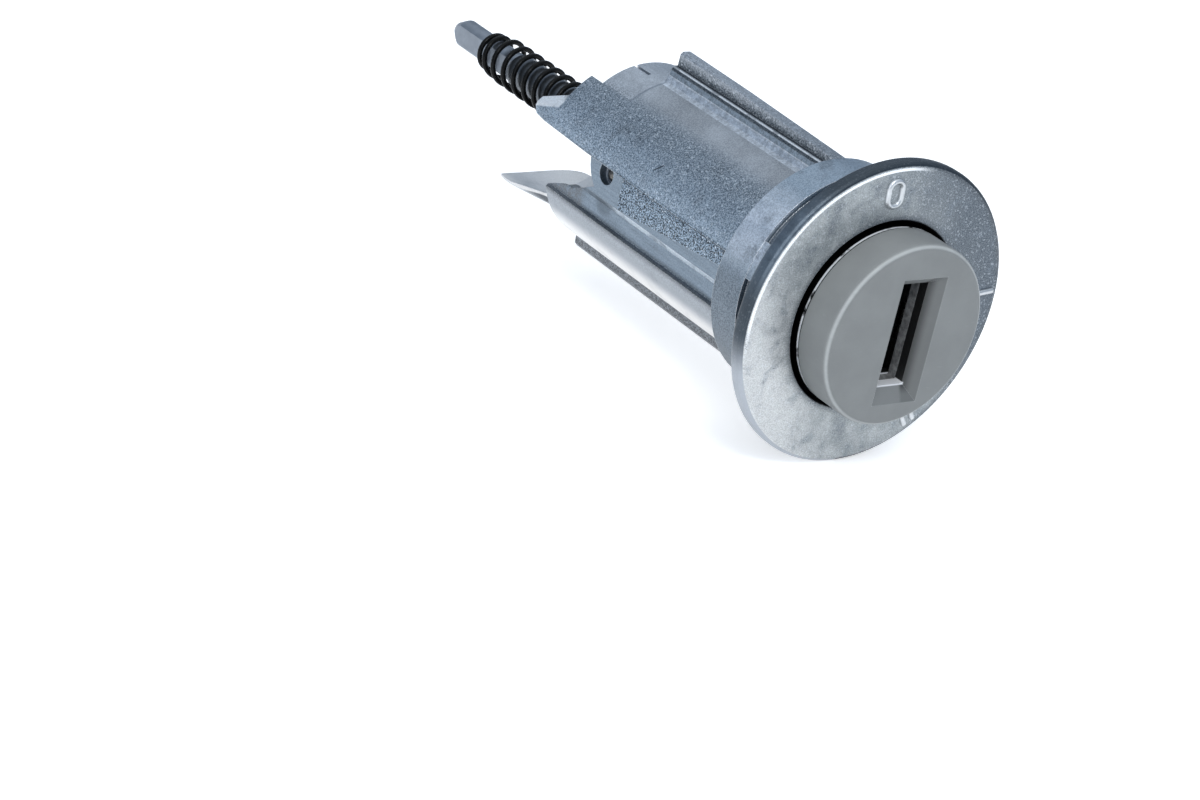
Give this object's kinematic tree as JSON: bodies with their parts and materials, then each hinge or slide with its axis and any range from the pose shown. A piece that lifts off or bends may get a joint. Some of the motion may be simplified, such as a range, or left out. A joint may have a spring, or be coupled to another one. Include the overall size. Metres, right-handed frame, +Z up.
{
  "type": "ignition switch lock cylinder",
  "caption": "Ignition lock cylinder: flanged die-cast barrel with ribs, wing and tongue, a grey capped key plug with shutter and wafers, and a sprung tail shaft.",
  "frame": {"origin": "centre of the flange's front face, on the plug's axis", "axes": "+Y into the lock along the plug's axis, +Z up along the key slot in the locked position, +X right as the front is seen"},
  "size_m": [0.0326, 0.0814, 0.0326],
  "materials": {
    "cast_zinc": "die-cast zinc, satin and grainy",
    "plug_zinc": "die-cast zinc, smooth",
    "grey_plastic": "satin grey moulding",
    "guide_steel": "bright plate",
    "shutter_steel": "bright pressed steel",
    "pin_steel": "oiled steel",
    "spring_steel": "spring wire",
    "tail_zinc": "die-cast zinc, pale",
    "wafer_brass": "stamped brass",
    "black_spring": "black oiled spring wire"
  },
  "bodies": {
    "housing": {"housing": "cast_zinc", "retaining_pin": "pin_steel"},
    "plug": {"rotor": "plug_zinc", "plug_cap": "grey_plastic", "key_guide": "guide_steel", "shutter_pin": "pin_steel", "shutter_spring": "spring_steel", "tail_shaft": "tail_zinc", "tail_pin": "pin_steel", "tail_spring": "black_spring", "wafer_spring_1": "spring_steel", "wafer_spring_2": "spring_steel", "wafer_spring_3": "spring_steel", "wafer_spring_4": "spring_steel", "wafer_spring_5": "spring_steel", "wafer_spring_6": "spring_steel", "wafer_spring_7": "spring_steel", "wafer_spring_8": "spring_steel"},
    "shutter": {"shutter": "shutter_steel"},
    "wafer_1": {"wafer_1": "wafer_brass"},
    "wafer_2": {"wafer_2": "wafer_brass"},
    "wafer_3": {"wafer_3": "wafer_brass"},
    "wafer_4": {"wafer_4": "wafer_brass"},
    "wafer_5": {"wafer_5": "wafer_brass"},
    "wafer_6": {"wafer_6": "wafer_brass"},
    "wafer_7": {"wafer_7": "wafer_brass"},
    "wafer_8": {"wafer_8": "wafer_brass"}
  },
  "joints": [
    {"name": "plug_turn", "type": "hinge", "parent": "housing", "child": "plug", "pos_m": [0, 0, 0], "axis": [0, 1, 0], "range_deg": [0, 145]},
    {"name": "shutter_swing", "type": "hinge", "parent": "plug", "child": "shutter", "pos_m": [0.00275, -0.0013, 0], "axis": [0, 0, -1], "range_deg": [0, 80], "stiffness_Nm_per_rad": 0.0004, "springref_deg": -28.65, "deforming": ["shutter_spring"]},
    {"name": "wafer_1_slide", "type": "slide", "parent": "plug", "child": "wafer_1", "axis": [0, 0, 1], "range_m": [-0.00035, 0.00035], "stiffness_N_per_m": 300, "deforming": ["wafer_spring_1"]},
    {"name": "wafer_2_slide", "type": "slide", "parent": "plug", "child": "wafer_2", "axis": [0, 0, 1], "range_m": [-0.00035, 0.00035], "stiffness_N_per_m": 300, "deforming": ["wafer_spring_2"]},
    {"name": "wafer_3_slide", "type": "slide", "parent": "plug", "child": "wafer_3", "axis": [0, 0, 1], "range_m": [-0.00035, 0.00035], "stiffness_N_per_m": 300, "deforming": ["wafer_spring_3"]},
    {"name": "wafer_4_slide", "type": "slide", "parent": "plug", "child": "wafer_4", "axis": [0, 0, 1], "range_m": [-0.00035, 0.00035], "stiffness_N_per_m": 300, "deforming": ["wafer_spring_4"]},
    {"name": "wafer_5_slide", "type": "slide", "parent": "plug", "child": "wafer_5", "axis": [0, 0, 1], "range_m": [-0.00035, 0.00035], "stiffness_N_per_m": 300, "deforming": ["wafer_spring_5"]},
    {"name": "wafer_6_slide", "type": "slide", "parent": "plug", "child": "wafer_6", "axis": [0, 0, 1], "range_m": [-0.00035, 0.00035], "stiffness_N_per_m": 300, "deforming": ["wafer_spring_6"]},
    {"name": "wafer_7_slide", "type": "slide", "parent": "plug", "child": "wafer_7", "axis": [0, 0, 1], "range_m": [-0.00035, 0.00035], "stiffness_N_per_m": 300, "deforming": ["wafer_spring_7"]},
    {"name": "wafer_8_slide", "type": "slide", "parent": "plug", "child": "wafer_8", "axis": [0, 0, 1], "range_m": [-0.00035, 0.00035], "stiffness_N_per_m": 300, "deforming": ["wafer_spring_8"]}
  ]
}
